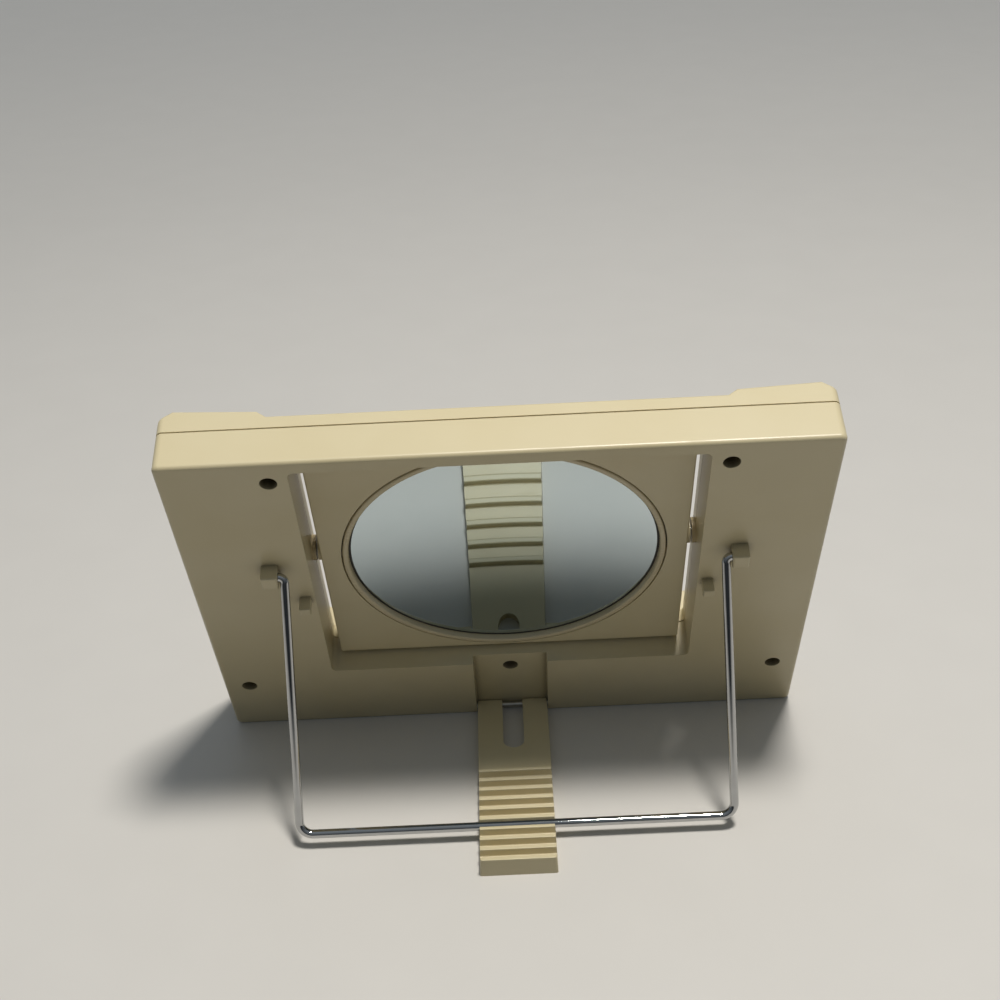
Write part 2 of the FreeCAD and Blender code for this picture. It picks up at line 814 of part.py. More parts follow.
def hinge_pins():
    # One rod from cheek to cheek, open to view in the slot of the foot
    reach = pocket_width / 2 + hinge_pin_seat - hinge_pin_end
    return stand_case(Part.makeCylinder(hinge_pin_radius, 2 * reach, V(-reach, -hinge_inset, hinge_rise()), x_axis))


def foot_half():
    return pocket_width / 2 - foot_side_gap


def foot_top():
    return foot_plate + ridge_height


def ridge_rear(number):
    return foot_length - ridge_pitch * (ridge_count - number)


def ridge_front(number):
    return ridge_rear(number) - ridge_width


def gap_cutter(start, end):
    # The room in front of a ridge, with rounded roots
    reach = foot_half() + overrun
    gap = box((-reach, reach), (start, end), (foot_plate, foot_top() + overrun))
    low_edges = [edge for edge in straight_edges(gap, x_axis) if edge.Vertexes[0].Point.z < foot_plate + tolerance]
    return gap.makeFillet(ridge_root_radius, low_edges)


def foot_blank():
    # Plate that narrows towards its end, with sides that lean in towards the top
    half = foot_half()
    plate = box((-half, half), (foot_start, foot_length), (0, foot_top()))
    low = -overrun
    high = foot_top() + overrun
    slope = foot_draft / foot_top()
    for side in (-1, 1):
        section = [(half - slope * low, low), (half - slope * high, high), (half + overrun, high), (half + overrun, low)]
        sweep = V(-side * foot_end_narrowing, foot_length - foot_start, 0)
        plate = plate.cut(prism([V(side * x, foot_start, z) for x, z in section], sweep))
    end_edges = [edge for edge in plate.Edges
                 if all(abs(v.Point.y - foot_length) < tolerance for v in edge.Vertexes)
                 and abs(edge.Vertexes[0].Point.z - edge.Vertexes[-1].Point.z) > foot_plate]
    return plate.makeFillet(foot_end_radius, end_edges)


def support_foot():
    hinge = hinge_point()
    half = foot_half() - foot_draft
    knuckle = Part.makeCylinder(knuckle_radius, 2 * half, V(-half, hinge.y, hinge.z), x_axis)
    neck = box((-half, half), (hinge.y, foot_start + overrun), middle_span(hinge.z, 2 * knuckle_radius))
    slot_round = slot_end - slot_width / 2
    tall = foot_plate + 2 * overrun
    nose = hinge.y - knuckle_radius - overrun
    slot = box(middle_span(0, slot_width), (nose, slot_round), (-overrun, tall - overrun))
    cuts = [slot, Part.makeCylinder(slot_width / 2, tall, V(0, slot_round, -overrun), z_axis)]
    cuts.append(Part.makeCylinder(hinge_pin_radius + pin_fit, 2 * half + 2 * overrun,
                                  V(-half - overrun, hinge.y, hinge.z), x_axis))
    cuts.append(gap_cutter(nose, ridge_front(1)))
    cuts += [gap_cutter(ridge_rear(number), ridge_front(number + 1)) for number in range(1, ridge_count)]
    foot = foot_blank().multiFuse([knuckle, neck])
    for cut in cuts:
        foot = foot.cut(cut)
    foot = foot.removeSplitter()
    tops = [edge for edge in straight_edges(foot, x_axis) if edge.Vertexes[0].Point.z > foot_top() - tolerance]
    return foot.makeFillet(ridge_edge_radius, tops)


def bail_pivot():
    return stand_point(V(0, pivot_proud, pivot_height))


def bail_bar():
    # Middle of the cross bar, on the floor of its gap and against the ridge behind it
    reach = wire_radius + notch_gap
    return V(0, ridge_front(bail_gap_number + 1) - reach, foot_plate + reach)


def wire_bail():
    pivot = bail_pivot()
    bar = bail_bar()
    lug_inner = half_width - lug_side - lug_width
    leg = lug_inner - bail_side_gap - bail_eye_bend
    tip = lug_inner + lug_width - lug_skin - bail_side_gap
    points = []
    for side in (-1, 1):
        ends = [pivot + x_axis * (side * tip), pivot + x_axis * (side * leg),
                bar + x_axis * (side * (leg + bail_splay))]
        points += ends if side < 0 else ends[::-1]
    bends = [bail_eye_bend, bail_corner_bend, bail_corner_bend, bail_eye_bend]
    return bent_rod(points, bends, wire_radius)


def case_parts():
    parts = {
        "rear_cover": rear_cover(), "front_frame": front_frame(), "ballast": ballast(),
        "inner_starter": starter(inner_starter_side), "outer_starter": starter(outer_starter_side),
        "switch_body": switch_body(), "power_button": power_button(), "mains_inlet": mains_inlet(),
        "inner_wiring": inner_wiring(), "case_screws": case_screws(), "mirror_frame": mirror_frame(),
        "rear_retaining_ring": retaining_ring(1), "front_retaining_ring": retaining_ring(-1),
        "magnifying_mirror": magnifying_mirror(), "plain_mirror": plain_mirror(),
    }
    for side, name in ((-1, "left"), (1, "right")):
        parts[name + "_diffuser"] = diffuser(side)
        parts[name + "_reflector"] = reflector(side)
        parts[name + "_lamp_tube"] = lamp_tube(side)
        parts[name + "_lower_lampholder"] = lampholder(side, -1)
        parts[name + "_upper_lampholder"] = lampholder(side, 1)
        parts[name + "_pivot_bush"] = pivot_bush(side)
        parts[name + "_pivot_pin"] = pivot_pin(side)
    return parts


def standing_parts():
    parts = {name: stand_case(shape) for name, shape in case_parts().items()}
    parts["foot_hinge_pins"] = hinge_pins()
    parts["support_foot"] = support_foot()
    parts["wire_bail"] = wire_bail()
    return parts


def centre_shift(parts):
    # The origin is the middle of the footprint, on the table
    bounds = Part.makeCompound(list(parts.values())).optimalBoundingBox(False, False)
    return V(0, -(bounds.YMin + bounds.YMax) / 2, 0)


def main():
    os.makedirs("parts", exist_ok=True)
    parts = standing_parts()
    shift = centre_shift(parts)
    for name, shape in parts.items():
        placed = shape.copy()
        placed.translate(shift)
        placed.exportStep(os.path.join("parts", name + ".step"))
    print("parts written:", len(parts))


if __name__ == "__main__":
    main()
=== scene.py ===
import bpy
import bmesh
import json
import math
from mathutils import Euler, Matrix, Vector


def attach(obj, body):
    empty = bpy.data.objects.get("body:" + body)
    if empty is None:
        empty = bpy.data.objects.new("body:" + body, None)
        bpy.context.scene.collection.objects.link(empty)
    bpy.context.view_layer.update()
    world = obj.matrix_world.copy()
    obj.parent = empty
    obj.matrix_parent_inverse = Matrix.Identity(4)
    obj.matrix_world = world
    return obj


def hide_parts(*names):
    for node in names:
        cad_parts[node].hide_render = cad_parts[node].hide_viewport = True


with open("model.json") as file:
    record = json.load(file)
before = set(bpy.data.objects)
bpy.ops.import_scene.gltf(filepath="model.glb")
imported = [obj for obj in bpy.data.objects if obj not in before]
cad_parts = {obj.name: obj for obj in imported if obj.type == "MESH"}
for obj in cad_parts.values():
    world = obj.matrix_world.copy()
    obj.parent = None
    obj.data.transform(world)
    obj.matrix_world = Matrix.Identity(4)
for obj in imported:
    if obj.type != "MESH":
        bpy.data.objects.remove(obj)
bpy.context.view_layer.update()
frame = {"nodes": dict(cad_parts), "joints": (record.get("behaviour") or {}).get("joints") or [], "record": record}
scene = bpy.context.scene
scene.view_settings.view_transform = "Standard"
print("frame loaded with", len(frame["nodes"]), "nodes")

mm = 0.001
joints = {joint["name"]: joint for joint in frame["joints"]}

# the case leans back about X, so what sits on it is laid out in the case's own upright axes, in millimetres
caseStand = {"leanDeg": 21.0, "pivotDepth": 18.65, "pivotHeight": 122.95}
lean = math.radians(caseStand["leanDeg"])
leanTurn = Matrix.Rotation(-lean, 4, "X")
acrossCase = Vector((1, 0, 0))
outOfRear = leanTurn @ Vector((0, 1, 0))
upCase = leanTurn @ Vector((0, 0, 1))
mirrorMiddle = Vector(joints["mirror_flip"]["pos_m"])


def onCase(x, y, z):
    out, up = y + caseStand["pivotDepth"], z - caseStand["pivotHeight"]
    return mirrorMiddle + (acrossCase * x + outOfRear * out + upCase * up) * mm


def toLinear(hexColour):
    channels = [int(hexColour[i:i + 2], 16) / 255 for i in (0, 2, 4)]
    return tuple(c / 12.92 if c <= 0.04045 else ((c + 0.055) / 1.055) ** 2.4 for c in channels) + (1.0,)


def addNode(tree, kind, inputs=None, **settings):
    node = tree.nodes.new(kind)
    for name, value in settings.items():
        setattr(node, name, value)
    for name, value in (inputs or {}).items():
        socket = node.inputs[name]
        if isinstance(value, bpy.types.NodeSocket):
            tree.links.new(value, socket)
        else:
            socket.default_value = value
    return node


def newMaterial(name):
    material = bpy.data.materials.new(name)
    material.use_nodes = True
    tree = material.node_tree
    shader = next(node for node in tree.nodes if node.type == "BSDF_PRINCIPLED")
    place = addNode(tree, "ShaderNodeTexCoord").outputs["Object"]
    return material, tree, shader, place


def perMetre(sizeMm):
    return 1 / (sizeMm * mm)  # noise scale for a feature of this real size


def wavesPerMetre(pitchMm):
    return math.pi / 10 * perMetre(pitchMm)  # a wave texture of scale 1 repeats every pi / 10


def ofKind(items, kind):
    return [item for item in items if isinstance(item, kind)]


def roundEdges(bm, edges, radiusMm, steps):
    bmesh.ops.bevel(bm, geom=edges, offset=radiusMm * mm, segments=steps, profile=0.5, affect="EDGES", material=-1)


pieceFinish = {"mergeMm": 0.002, "sharpDeg": 35}


def finishPiece(bm, name, materials, body, slotName, *nodes):
    bmesh.ops.remove_doubles(bm, verts=bm.verts, dist=pieceFinish["mergeMm"] * mm)
    bmesh.ops.recalc_face_normals(bm, faces=bm.faces)
    for face in bm.faces:
        face.smooth = True
    mesh = bpy.data.meshes.new(name)
    bm.to_mesh(mesh)
    bm.free()
    mesh.set_sharp_from_angle(angle=math.radians(pieceFinish["sharpDeg"]))
    for material in materials:
        mesh.materials.append(material)
    piece = bpy.data.objects.new(name, mesh)
    scene.collection.objects.link(piece)
    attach(piece, body)
    if nodes:
        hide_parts(*nodes)


# camera fitted to the edges of the case in the photograph
cameraPlace = {"lensMm": 54.18, "sensorMm": 36, "clipStart": 0.01, "placeMm": (-3.48, 554.71, 487.80),
               "turnDeg": (58.7156, 2.4806, 178.9271)}
cameraData = bpy.data.cameras.new("photoCamera")
cameraData.lens = cameraPlace["lensMm"]
cameraData.sensor_width = cameraPlace["sensorMm"]
cameraData.clip_start = cameraPlace["clipStart"]
camera = bpy.data.objects.new("photoCamera", cameraData)
camera.location = Vector(cameraPlace["placeMm"]) * mm
camera.rotation_euler = Euler([math.radians(a) for a in cameraPlace["turnDeg"]])
scene.collection.objects.link(camera)
scene.camera = camera
print("camera placed")


# what the camera, metal and glass see of the stage, apart from the light that it sends back to the object;
# glossy rays lose it from start to end, so that the room behind the camera stays dim in the chrome
def seenRays(tree, rearward, start, end):
    rays = addNode(tree, "ShaderNodeLightPath").outputs
    near = addNode(tree, "ShaderNodeMapRange", {"Value": rearward, "From Min": start, "From Max": end,
                                                "To Min": 1.0, "To Max": 0.0})
    shine = addNode(tree, "ShaderNodeMath", {0: rays["Is Glossy Ray"], 1: near.outputs["Result"]},
                    operation="MULTIPLY")
    clear = addNode(tree, "ShaderNodeMath", {0: shine.outputs["Value"], 1: rays["Is Transmission Ray"]},
                    operation="MAXIMUM")
    seen = addNode(tree, "ShaderNodeMath", {0: rays["Is Camera Ray"], 1: clear.outputs["Value"]},
                   operation="MAXIMUM")
    return seen.outputs["Value"]


# one soft panel overhead, in a room that is dim around and brighter above, with a pale backdrop low down all round
# and a pale wall on the front side; the backdrop's, the wall's and the chrome's limits are looks along Z, Y and Y
roomLight = {"panelSize": 0.30, "panelPlace": (-0.26, 0.16, 2.0), "panelWatts": 33.0, "panelHex": "FFFBF4",
             "roomHex": "DEE8F0", "aroundStrength": 0.03, "aboveStrength": 0.36,
             "backdropStrength": 0.28, "backdropFull": 0.04, "backdropTop": 0.30,
             "frontStrength": 0.26, "frontFull": -0.85, "frontEnd": -0.15, "chromeStart": 0.2, "chromeEnd": 0.5}


def lightRoom(spec):
    lamp = bpy.data.lights.new("ceilingPanel", "AREA")
    lamp.size = spec["panelSize"]
    lamp.energy = spec["panelWatts"]
    lamp.color = toLinear(spec["panelHex"])[:3]
    lampObject = bpy.data.objects.new("ceilingPanel", lamp)
    lampObject.location = spec["panelPlace"]
    lampObject.rotation_euler = (-Vector(spec["panelPlace"])).to_track_quat("-Z", "Y").to_euler()
    scene.collection.objects.link(lampObject)
    world = bpy.data.worlds.new("dimRoom")
    world.use_nodes = True
    scene.world = world
    sky = world.node_tree
    background = next(node for node in sky.nodes if node.type == "BACKGROUND")
    background.inputs["Color"].default_value = toLinear(spec["roomHex"])
    place = addNode(sky, "ShaderNodeTexCoord").outputs["Generated"]
    look = addNode(sky, "ShaderNodeSeparateXYZ", {"Vector": place}).outputs
    roomGlow = addNode(sky, "ShaderNodeMapRange", {"Value": look["Z"], "To Min": spec["aroundStrength"],
                                                   "To Max": spec["aboveStrength"]})
    backdrop = addNode(sky, "ShaderNodeMapRange", {"Value": look["Z"], "From Min": spec["backdropFull"],
                                                   "From Max": spec["backdropTop"],
                                                   "To Min": spec["backdropStrength"], "To Max": 0.0})
    frontWall = addNode(sky, "ShaderNodeMapRange", {"Value": look["Y"], "From Min": spec["frontFull"],
                                                    "From Max": spec["frontEnd"],
                                                    "To Min": spec["frontStrength"], "To Max": 0.0})
    pale = addNode(sky, "ShaderNodeMath", {0: backdrop.outputs["Result"], 1: frontWall.outputs["Result"]},
                   operation="MAXIMUM")
    seen = seenRays(sky, look["Y"], spec["chromeStart"], spec["chromeEnd"])
    shown = addNode(sky, "ShaderNodeMath", {0: seen, 1: pale.outputs["Value"], 2: roomGlow.outputs["Result"]},
                    operation="MULTIPLY_ADD")
    sky.links.new(shown.outputs["Value"], background.inputs["Strength"])


# pale laminate table top: nearly even, with a faint mottle and a dull sheen, and kept pale far from the lamp;
# half, fade and chrome limits in metres
tableTop = {"half": 6.0, "hex": "D2CFCA", "mottleHex": "D6D3CE", "mottleMm": 40.0, "rough": 0.5,
            "bounceHex": "ACA9A3", "fadeStart": 0.9, "fadeEnd": 4.5, "farStrength": 0.36,
            "chromeStart": 0.4, "chromeEnd": 0.9}


def makeTable(spec):
    material, tree, shader, place = newMaterial("paleLaminate")
    mottle = addNode(tree, "ShaderNodeTexNoise", {"Vector": place, "Scale": perMetre(spec["mottleMm"]),
                                                  "Detail": 3.0})
    colour = addNode(tree, "ShaderNodeMix", {"Factor": mottle.outputs["Fac"], "A": toLinear(spec["hex"]),
                                             "B": toLinear(spec["mottleHex"])}, data_type="RGBA")
    rearward = addNode(tree, "ShaderNodeSeparateXYZ", {"Vector": place}).outputs["Y"]
    seen = seenRays(tree, rearward, spec["chromeStart"], spec["chromeEnd"])
    shown = addNode(tree, "ShaderNodeMix", {"Factor": seen, "A": toLinear(spec["bounceHex"]),
                                            "B": colour.outputs["Result"]}, data_type="RGBA")
    tree.links.new(shown.outputs["Result"], shader.inputs["Base Color"])
    away = addNode(tree, "ShaderNodeVectorMath", {"Vector": place}, operation="LENGTH")
    far = addNode(tree, "ShaderNodeMapRange", {"Value": away.outputs["Value"], "From Min": spec["fadeStart"],
                                               "From Max": spec["fadeEnd"], "To Max": spec["farStrength"]})
    glow = addNode(tree, "ShaderNodeMath", {0: far.outputs["Result"], 1: seen}, operation="MULTIPLY")
    tree.links.new(glow.outputs["Value"], shader.inputs["Emission Strength"])
    shader.inputs["Emission Color"].default_value = toLinear(spec["hex"])
    shader.inputs["Roughness"].default_value = spec["rough"]
    bm = bmesh.new()
    bmesh.ops.create_grid(bm, x_segments=1, y_segments=1, size=spec["half"])
    mesh = bpy.data.meshes.new("tableTop")
    bm.to_mesh(mesh)
    bm.free()
    mesh.materials.append(material)
    table = bpy.data.objects.new("tableTop", mesh)
    scene.collection.objects.link(table)


lightRoom(roomLight)
makeTable(tableTop)
print("table and light set")

# what all the moulded plastics share: slow yellowing, hairline scuffs along X and the range of the dirt and painted
# shade in corners
mouldSkin = {"cloudMm": 60.0, "ageFrom": 0.35, "ageTo": 0.7, "cornerDark": 0.3, "cornerOpen": 0.77,
             "scuffMm": (24.0, 0.8, 0.8), "scuffFrom": 0.62, "scuffTo": 0.74, "scuffRough": 0.14,
             "polishLow": -0.04, "polishHigh": 0.05, "grainDeepMm": 0.3}


# moulded plastic: satin skin with a faint grain from the mould, dull scuffs, and grime with painted shade darkening
# the corners and hollows;
# the real grain is finer and is drawn this coarse so that it shows
def mouldedPlastic(finish, skin):
    material, tree, shader, place = newMaterial(finish["name"])
    cloud = addNode(tree, "ShaderNodeTexNoise", {"Vector": place, "Scale": perMetre(skin["cloudMm"]), "Detail": 3.0})
    age = addNode(tree, "ShaderNodeMapRange", {"Value": cloud.outputs["Fac"], "From Min": skin["ageFrom"],
                                               "From Max": skin["ageTo"]})
    aged = addNode(tree, "ShaderNodeMix", {"Factor": age.outputs["Result"], "A": toLinear(finish["hex"]),
                                           "B": toLinear(finish["agedHex"])}, data_type="RGBA")
    # painted shade: ambient occlusion darkens corners and hollows towards the dark colour, for the shade that falls
    # there as well as for dirt
    corner = addNode(tree, "ShaderNodeAmbientOcclusion", {"Distance": finish["reachMm"] * mm},
                     samples=4, only_local=True)
    dirtAndShade = addNode(tree, "ShaderNodeMapRange", {"Value": corner.outputs["AO"], "From Min": skin["cornerDark"],
                                                 "From Max": skin["cornerOpen"],
                                                 "To Min": finish["dirtAndShade"], "To Max": 0.0})
    colour = addNode(tree, "ShaderNodeMix", {"Factor": dirtAndShade.outputs["Result"], "A": aged.outputs["Result"],
                                             "B": toLinear(finish["dirtAndShadeHex"])}, data_type="RGBA")
    tree.links.new(colour.outputs["Result"], shader.inputs["Base Color"])
    along = addNode(tree, "ShaderNodeMapping", {"Vector": place,
                                                "Scale": [perMetre(size) for size in skin["scuffMm"]]})
    streak = addNode(tree, "ShaderNodeTexNoise", {"Vector": along.outputs["Vector"], "Scale": 1.0, "Detail": 2.0})
    scuff = addNode(tree, "ShaderNodeMapRange", {"Value": streak.outputs["Fac"], "From Min": skin["scuffFrom"],
                                                 "From Max": skin["scuffTo"]})
    polish = addNode(tree, "ShaderNodeMapRange", {"Value": cloud.outputs["Fac"],
                                                  "To Min": finish["rough"] + skin["polishLow"],
                                                  "To Max": finish["rough"] + skin["polishHigh"]})
    rough = addNode(tree, "ShaderNodeMix", {"Factor": scuff.outputs["Result"], "A": polish.outputs["Result"],
                                            "B": finish["rough"] + skin["scuffRough"]}, data_type="FLOAT")
    tree.links.new(rough.outputs["Result"], shader.inputs["Roughness"])
    grain = addNode(tree, "ShaderNodeTexNoise", {"Vector": place, "Scale": perMetre(finish["grainMm"]), "Detail": 2.0})
    relief = addNode(tree, "ShaderNodeBump", {"Height": grain.outputs["Fac"], "Strength": finish["relief"],
                                              "Distance": skin["grainDeepMm"] * mm})
    tree.links.new(relief.outputs["Normal"], shader.inputs["Normal"])
    shader.inputs["IOR"].default_value = finish["ior"]
    return material


plasticFinishes = {
    "case_plastic": {"name": "ivoryAbs", "hex": "D2C6A3", "agedHex": "CDC09A", "dirtAndShadeHex": "8E7C56", "dirtAndShade": 0.45,
                     "reachMm": 3.0, "rough": 0.34, "grainMm": 0.9, "relief": 0.05, "ior": 1.53},
    # the rear shell's long, strong occlusion paints the deep shade in its screw wells and slits, over some dirt
    "rear_shell": {"name": "shadedSoiledIvoryAbs", "hex": "D2C6A3", "agedHex": "CDC09A", "dirtAndShadeHex": "4C3E26", "dirtAndShade": 0.9,
                   "reachMm": 9.0, "rough": 0.34, "grainMm": 0.9, "relief": 0.05, "ior": 1.53},
    "ring_plastic": {"name": "polishedIvoryAbs", "hex": "D0C3A2", "agedHex": "CABC98", "dirtAndShadeHex": "7E6D4A",
                     "dirtAndShade": 0.5, "reachMm": 3.0, "rough": 0.26, "grainMm": 0.9, "relief": 0.02, "ior": 1.53},
    # the bush colour is the case ivory painted darker and browner, as painted shade in the pivot gaps
    "bush_plastic": {"name": "shadeDarkIvoryAcetal", "hex": "C2B28C", "agedHex": "B4A078", "dirtAndShadeHex": "5A4526", "dirtAndShade": 0.6,
                     "reachMm": 3.0, "rough": 0.38, "grainMm": 0.7, "relief": 0.05, "ior": 1.48},
    "button_plastic": {"name": "tanAbs", "hex": "B7A47C", "agedHex": "B09C72", "dirtAndShadeHex": "6B5836", "dirtAndShade": 0.5,
                       "reachMm": 3.0, "rough": 0.30, "grainMm": 0.6, "relief": 0.05, "ior": 1.53},
    "white_plastic": {"name": "whiteNylon", "hex": "E2E0D9", "agedHex": "DCD8CC", "dirtAndShadeHex": "9A9482", "dirtAndShade": 0.4,
                      "reachMm": 3.0, "rough": 0.45, "grainMm": 0.6, "relief": 0.08, "ior": 1.53},
    "dark_plastic": {"name": "blackNylon", "hex": "1E1C1A", "agedHex": "191715", "dirtAndShadeHex": "37322A", "dirtAndShade": 0.4,
                     "reachMm": 3.0, "rough": 0.45, "grainMm": 0.5, "relief": 0.12, "ior": 1.53},
    "lead_sheath": {"name": "softPvc", "hex": "D4CEBE", "agedHex": "CCC5B2", "dirtAndShadeHex": "8C8470", "dirtAndShade": 0.3,
                    "reachMm": 3.0, "rough": 0.48, "grainMm": 1.4, "relief": 0.06, "ior": 1.52},
}


# bare or plated metal: bright, with a soft cloud of dulling and fine lines, drawn along one axis where worked so
def workedMetal(finish, lineDeepMm=0.1):
    material, tree, shader, place = newMaterial(finish["name"])
    cloud = addNode(tree, "ShaderNodeTexNoise", {"Vector": place, "Scale": perMetre(finish["cloudMm"]), "Detail": 4.0})
    colour = addNode(tree, "ShaderNodeMix", {"Factor": cloud.outputs["Fac"], "A": toLinear(finish["hex"]),
                                             "B": toLinear(finish["dullHex"])}, data_type="RGBA")
    tree.links.new(colour.outputs["Result"], shader.inputs["Base Color"])
    low, high = finish["rough"]
    polish = addNode(tree, "ShaderNodeMapRange", {"Value": cloud.outputs["Fac"], "To Min": low, "To Max": high})
    tree.links.new(polish.outputs["Result"], shader.inputs["Roughness"])
    along = addNode(tree, "ShaderNodeMapping", {"Vector": place, "Rotation": (lean, 0, 0),
                                                "Scale": [perMetre(size) for size in finish["lineMm"]]})
    lines = addNode(tree, "ShaderNodeTexNoise", {"Vector": along.outputs["Vector"], "Scale": 1.0, "Detail": 2.0})
    relief = addNode(tree, "ShaderNodeBump", {"Height": lines.outputs["Fac"], "Strength": finish["relief"],
                                              "Distance": lineDeepMm * mm})
    tree.links.new(relief.outputs["Normal"], shader.inputs["Normal"])
    shader.inputs["Metallic"].default_value = 1.0
    return material


metalFinishes = {
    "chromed_wire": {"name": "chromedSteelWire", "hex": "C0C1C2", "dullHex": "B0B0AF", "cloudMm": 6.0,
                     "rough": (0.02, 0.07), "lineMm": (8.0, 8.0, 8.0), "relief": 0.002},
    "steel": {"name": "zincPlatedSteel", "hex": "BDBBB4", "dullHex": "A09D94", "cloudMm": 3.0,
              "rough": (0.26, 0.45), "lineMm": (0.5, 0.5, 0.5), "relief": 0.08},
    "starter_can": {"name": "drawnAluminium", "hex": "C9CACA", "dullHex": "B9BABA", "cloudMm": 8.0,
                    "rough": (0.28, 0.42), "lineMm": (0.4, 0.4, 20.0), "relief": 0.15},
    "reflector_sheet": {"name": "brightRolledAluminium", "hex": "D6D7D8", "dullHex": "C6C8C9", "cloudMm": 20.0,
                        "rough": (0.14, 0.26), "lineMm": (0.4, 0.4, 30.0), "relief": 0.12},
    "inlet_pins": {"name": "nickelledBrass", "hex": "CFCBBE", "dullHex": "B7B09C", "cloudMm": 2.0,
                   "rough": (0.18, 0.32), "lineMm": (0.5, 0.5, 0.5), "relief": 0.04},
}

# glass silvered behind: a clear cool reflection under a thin film of dust
mirrorSilver = {"hex": "C2CED3", "dustHex": "B9C6CB", "dustMm": 25.0, "rough": (0.006, 0.03)}


def silveredGlass(finish):
    material, tree, shader, place = newMaterial("silveredGlass")
    film = addNode(tree, "ShaderNodeTexNoise", {"Vector": place, "Scale": perMetre(finish["dustMm"]), "Detail": 4.0})
    low, high = finish["rough"]
    haze = addNode(tree, "ShaderNodeMapRange", {"Value": film.outputs["Fac"], "To Min": low, "To Max": high})
    tree.links.new(haze.outputs["Result"], shader.inputs["Roughness"])
    tint = addNode(tree, "ShaderNodeMix", {"Factor": film.outputs["Fac"], "A": toLinear(finish["hex"]),
                                           "B": toLinear(finish["dustHex"])}, data_type="RGBA")
    tree.links.new(tint.outputs["Result"], shader.inputs["Base Color"])
    shader.inputs["Metallic"].default_value = 1.0
    return material


# painted shade round the edge of the glass: a dark, spotty band that stands in for the dark reflection of the ring's
# shaded underside
paintedEdgeShade = {"hex": "14120D", "spotHex": "2B261B", "spotMm": 1.6, "rough": 0.5}


def paintEdgeShade(finish):
    material, tree, shader, place = newMaterial("blackEdgeShadePaint")
    spots = addNode(tree, "ShaderNodeTexNoise", {"Vector": place, "Scale": perMetre(finish["spotMm"]), "Detail": 3.0})
    tint = addNode(tree, "ShaderNodeMix", {"Factor": spots.outputs["Fac"], "A": toLinear(finish["hex"]),
                                           "B": toLinear(finish["spotHex"])}, data_type="RGBA")
    tree.links.new(tint.outputs["Result"], shader.inputs["Base Color"])
    shader.inputs["Roughness"].default_value = finish["rough"]
    return material


# pressed opal acrylic: milky, with upright ribs that break up the shape of the tube behind
lightWindow = {"hex": "ECEAE3", "agedHex": "E6E2D6", "cloudMm": 30.0, "ribPitchMm": 2.0, "ribDeepMm": 0.4,
               "relief": 0.35, "rough": 0.28, "ior": 1.49, "milky": 0.3, "milkyMm": 3.0}


def opalAcrylic(finish):
    material, tree, shader, place = newMaterial("opalAcrylic")
    ribs = addNode(tree, "ShaderNodeTexWave", {"Vector": place, "Scale": wavesPerMetre(finish["ribPitchMm"])})
    relief = addNode(tree, "ShaderNodeBump", {"Height": ribs.outputs["Fac"], "Strength": finish["relief"],
                                              "Distance": finish["ribDeepMm"] * mm})
    tree.links.new(relief.outputs["Normal"], shader.inputs["Normal"])
    cloud = addNode(tree, "ShaderNodeTexNoise", {"Vector": place, "Scale": perMetre(finish["cloudMm"]), "Detail": 2.0})
    tint = addNode(tree, "ShaderNodeMix", {"Factor": cloud.outputs["Fac"], "A": toLinear(finish["hex"]),
                                           "B": toLinear(finish["agedHex"])}, data_type="RGBA")
    tree.links.new(tint.outputs["Result"], shader.inputs["Base Color"])
    shader.inputs["Roughness"].default_value = finish["rough"]
    shader.inputs["IOR"].default_value = finish["ior"]
    shader.inputs["Subsurface Weight"].default_value = finish["milky"]
    shader.inputs["Subsurface Scale"].default_value = finish["milkyMm"] * mm
    return material


# fluorescent tube: chalky phosphor seen through clear glass
lampTube = {"hex": "F0EFE9", "thinHex": "E6E5DE", "coatingMm": 9.0, "rough": 0.6, "glass": 1.0, "glassRough": 0.04}


def phosphorGlass(finish):
    material, tree, shader, place = newMaterial("phosphorGlass")
    coating = addNode(tree, "ShaderNodeTexNoise", {"Vector": place, "Scale": perMetre(finish["coatingMm"]),
                                                   "Detail": 3.0})
    tint = addNode(tree, "ShaderNodeMix", {"Factor": coating.outputs["Fac"], "A": toLinear(finish["hex"]),
                                           "B": toLinear(finish["thinHex"])}, data_type="RGBA")
    tree.links.new(tint.outputs["Result"], shader.inputs["Base Color"])
    shader.inputs["Roughness"].default_value = finish["rough"]
    shader.inputs["Coat Weight"].default_value = finish["glass"]
    shader.inputs["Coat Roughness"].default_value = finish["glassRough"]
    return material


# choke under brown-black varnish: the stacked sheets show as fine edges, drawn 1 mm apart so that they show at all
chokeStack = {"hex": "3A3733", "thickHex": "2A2019", "runMm": 7.0, "sheetMm": 1.0, "sheetDeepMm": 0.2, "relief": 0.4,
              "rough": (0.3, 0.5)}


def varnishedSheets(finish):
    material, tree, shader, place = newMaterial("varnishedSteelSheets")
    turned = addNode(tree, "ShaderNodeMapping", {"Vector": place, "Rotation": (lean, 0, 0)})
    sheets = addNode(tree, "ShaderNodeTexWave", {"Vector": turned.outputs["Vector"],
                                                 "Scale": wavesPerMetre(finish["sheetMm"])}, bands_direction="Y")
    runs = addNode(tree, "ShaderNodeTexNoise", {"Vector": place, "Scale": perMetre(finish["runMm"]), "Detail": 3.0})
    tint = addNode(tree, "ShaderNodeMix", {"Factor": runs.outputs["Fac"], "A": toLinear(finish["hex"]),
                                           "B": toLinear(finish["thickHex"])}, data_type="RGBA")
    tree.links.new(tint.outputs["Result"], shader.inputs["Base Color"])
    relief = addNode(tree, "ShaderNodeBump", {"Height": sheets.outputs["Fac"], "Strength": finish["relief"],
                                              "Distance": finish["sheetDeepMm"] * mm})
    tree.links.new(relief.outputs["Normal"], shader.inputs["Normal"])
    low, high = finish["rough"]
    gloss = addNode(tree, "ShaderNodeMapRange", {"Value": runs.outputs["Fac"], "To Min": low, "To Max": high})
    tree.links.new(gloss.outputs["Result"], shader.inputs["Roughness"])
    return material


